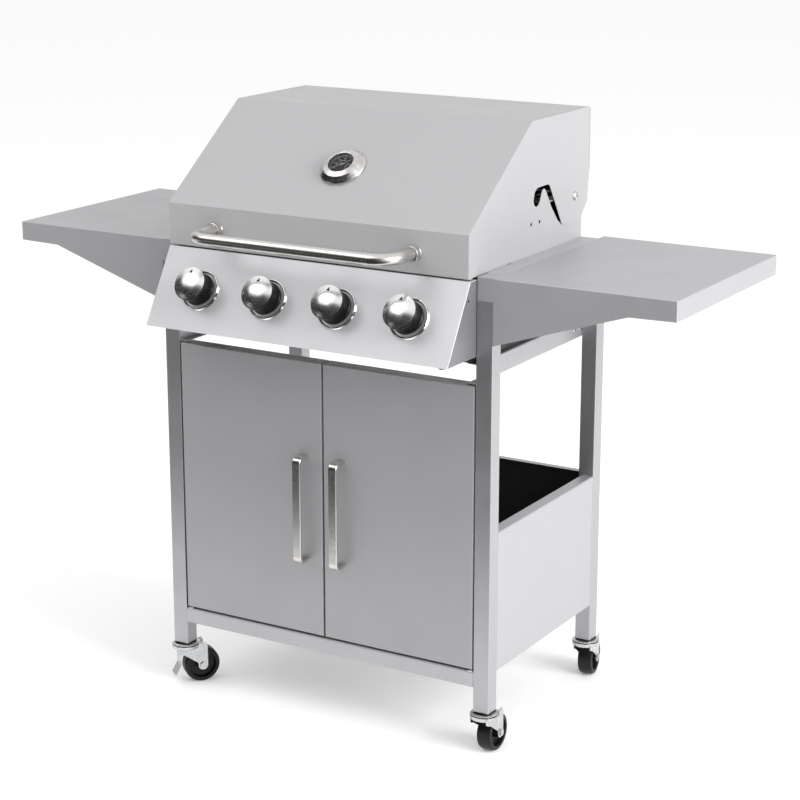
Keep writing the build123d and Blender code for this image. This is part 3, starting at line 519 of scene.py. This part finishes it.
def build_knob(number):
    """Black body with a domed chrome cap and a pointer."""
    place = place_of(f"knob_{number}_turn")
    bm = bmesh.new()
    lathe(bm, BODY_LINE, place, 1)
    lathe(bm, [(0, CAP_FOOT), *eased(CAP_LINE)], place, 0, CAP_STEPS)
    add_pointer(bm, place, 1)
    make_piece(f"knob_{number}_look", bm, [knob_chrome, black_plastic], f"knob_{number}",
               [f"knob_{number}"], 38.0)


for number in range(1, 5):
    build_knob(number)


# ---- Thermometer dial --------------------------------------------------------------------------
# Radii and heights are in millimetres, about and along the needle's axis. Angles are in degrees from
# the top of the dial, clockwise.

DIAL_START = -125
DIAL_SWEEP = 250
DIAL_MARKS = 30
MARKS_PER_LONG_ONE = 5
MARK_OUTER = 19.4
LONG_MARK = (15.6, 0.28)       # inner radius, half width
SHORT_MARK = (17.4, 0.14)
DIAL_PLATE = [(1.2, 7.02), (21.3, 7.02), (21.3, 7.25), (20.6, 7.45), (1.2, 7.30)]
DIAL_RIM = [(19.8, 7.35), (20.2, 7.35), (20.2, 7.55), (19.8, 7.55)]
INK_HEIGHTS = (7.35, 7.55)
ZONES = [(-125, -60), (-50, 40), (50, 125)]
ZONE_RADII = (8.9, 9.6)
ZONE_HEIGHTS = (7.33, 7.50)
NUMBERS = (50, 100, 150, 200, 250, 300, 350)
NUMBER_RADIUS = 12.9
NUMBER_HEIGHT = 7.44
NUMBER_SIZE = 3.3
NUMBER_RELIEF = 0.08


def build_dial():
    """Black plate with raised marks, an outer ring and three arcs near its middle."""
    place = place_of("gauge_needle_turn")
    bm = bmesh.new()
    lathe(bm, DIAL_PLATE, place, 0)
    for n in range(DIAL_MARKS + 1):
        angle = radians(DIAL_START + DIAL_SWEEP * n / DIAL_MARKS)
        inner, half = SHORT_MARK if n % MARKS_PER_LONG_ONE else LONG_MARK
        turn = place @ Matrix.Rotation(-angle, 4, "Z")
        mark = [(-half, inner), (half, inner), (half, MARK_OUTER), (-half, MARK_OUTER)]
        prism(bm, mark, *INK_HEIGHTS, turn, 1)
    lathe(bm, DIAL_RIM, place, 1)
    inner, outer = ZONE_RADII
    for start, end in ZONES:
        outline = arc(outer, 90 - start, 90 - end) + arc(inner, 90 - end, 90 - start)
        prism(bm, outline, *ZONE_HEIGHTS, place, 1)
    make_piece("thermometer_dial", bm, [dial_black, dial_ink], "hood")


def number_mesh(value):
    """Raised digits about the origin."""
    curve = bpy.data.curves.new("number", "FONT")
    curve.body = str(value)
    curve.size = NUMBER_SIZE * MM
    curve.align_x = "CENTER"
    curve.align_y = "CENTER"
    curve.extrude = NUMBER_RELIEF * MM
    curve.resolution_u = 3
    holder = bpy.data.objects.new("number", curve)
    bpy.context.scene.collection.objects.link(holder)
    bpy.context.view_layer.update()
    mesh = bpy.data.meshes.new_from_object(holder.evaluated_get(bpy.context.evaluated_depsgraph_get()))
    bpy.data.objects.remove(holder)
    bpy.data.curves.remove(curve)
    return mesh


def build_numbers():
    """Generic temperatures on the dial."""
    place = place_of("gauge_needle_turn")
    bm = bmesh.new()
    for n, value in enumerate(NUMBERS):
        angle = radians(DIAL_START + DIAL_SWEEP * n / (len(NUMBERS) - 1))
        spot = Vector((NUMBER_RADIUS * sin(angle), NUMBER_RADIUS * cos(angle), NUMBER_HEIGHT)) * MM
        mesh = number_mesh(value)
        mesh.transform(place @ Matrix.Translation(spot))
        bm.from_mesh(mesh)
        bpy.data.meshes.remove(mesh)
    make_piece("thermometer_numbers", bm, [dial_ink], "hood")


build_dial()
build_numbers()


# ---- Studio ------------------------------------------------------------------------------------

def staged_plane(name, size, place, material):
    """Flat rectangle of the studio; size is its half length and half width in metres."""
    bm = bmesh.new()
    x, y = size
    bm.faces.new([bm.verts.new(place @ Vector(c)) for c in ((-x, -y, 0), (x, -y, 0), (x, y, 0), (-x, y, 0))])
    mesh = bpy.data.meshes.new(name)
    bm.to_mesh(mesh)
    bm.free()
    mesh.materials.append(material)
    obj = bpy.data.objects.new(name, mesh)
    bpy.context.scene.collection.objects.link(obj)
    return obj


def softbox(name, position, target, size, power):
    """Rectangular light at a position, aimed at a target."""
    light = bpy.data.lights.new(name, "AREA")
    light.shape = "RECTANGLE"
    light.size, light.size_y = size
    light.energy = power
    obj = bpy.data.objects.new(name, light)
    obj.location = position
    obj.rotation_mode = "QUATERNION"
    obj.rotation_quaternion = (Vector(target) - Vector(position)).to_track_quat("-Z", "Y")
    bpy.context.scene.collection.objects.link(obj)


floor_mat = Finish("floor", (0.94, 0.94, 0.94), roughness=0.9, Specular_IOR_Level=0.1)
floor_mat.set("Emission Color", (1.0, 1.0, 1.0, 1.0))
floor_mat.set("Emission Strength", 0.12)
staged_plane("floor", (60.0, 60.0), Matrix.Identity(4), floor_mat.mat)

# Dark planes that show only in reflections, to give the metal something to mirror.
card_mat = Finish("dark_card", (0.02, 0.02, 0.02), roughness=0.9, Specular_IOR_Level=0.0)
upright = Matrix.Rotation(radians(90), 4, "X")
sideways = Matrix.Rotation(radians(90), 4, "Z") @ upright
DARK_PLANES = [
    ("dark_card", (2.6, 1.9), Matrix.Translation((0.4, -2.6, 0.10))),
    ("dark_wall_front", (4.6, 2.0), Matrix.Translation((-0.6, -4.6, 2.0)) @ upright),
    ("dark_wall_left", (2.6, 1.6), Matrix.Translation((-4.6, -2.0, 1.6)) @ sideways),
    ("dark_flag", (0.55, 0.17), Matrix.Translation((0.0, -0.52, 0.60))),
]
for name, size, place in DARK_PLANES:
    plane = staged_plane(name, size, place, card_mat.mat)
    plane.visible_camera = False
    plane.visible_diffuse = False
    plane.visible_shadow = False
    plane.visible_transmission = False

overhead = bpy.data.lights.new("overhead", "SUN")
overhead.angle = radians(SUN_ANGLE)
overhead.energy = SUN_POWER
overhead_holder = bpy.data.objects.new("overhead", overhead)
overhead_holder.location = (0.0, 0.0, 4.0)
bpy.context.scene.collection.objects.link(overhead_holder)

softbox("key_right", (4.2, -0.6, 2.2), (0.2, 0.0, 0.6), (2.4, 2.4), KEY_POWER)
softbox("sheen", (-1.7, -2.3, 3.7), (0.0, -0.1, 0.8), (3.4, 2.4), SHEEN_POWER)

world = bpy.data.worlds.new("studio")
world.use_nodes = True
background = world.node_tree.nodes["Background"]
background.inputs["Color"].default_value = (1.0, 1.0, 1.0, 1.0)
background.inputs["Strength"].default_value = WORLD_POWER
scene = bpy.context.scene
scene.world = world
scene.view_settings.view_transform = "Standard"
scene.view_settings.look = "None"

lens = bpy.data.cameras.new("camera")
lens.lens = CAMERA_LENS
lens.sensor_width = SENSOR_WIDTH
lens.clip_start = 0.1
lens.clip_end = 200.0
camera = bpy.data.objects.new("camera", lens)
camera.location = CAMERA_PLACE
camera.rotation_mode = "QUATERNION"
camera.rotation_quaternion = (CAMERA_TARGET - CAMERA_PLACE).to_track_quat("-Z", "Y")
scene.collection.objects.link(camera)
scene.camera = camera
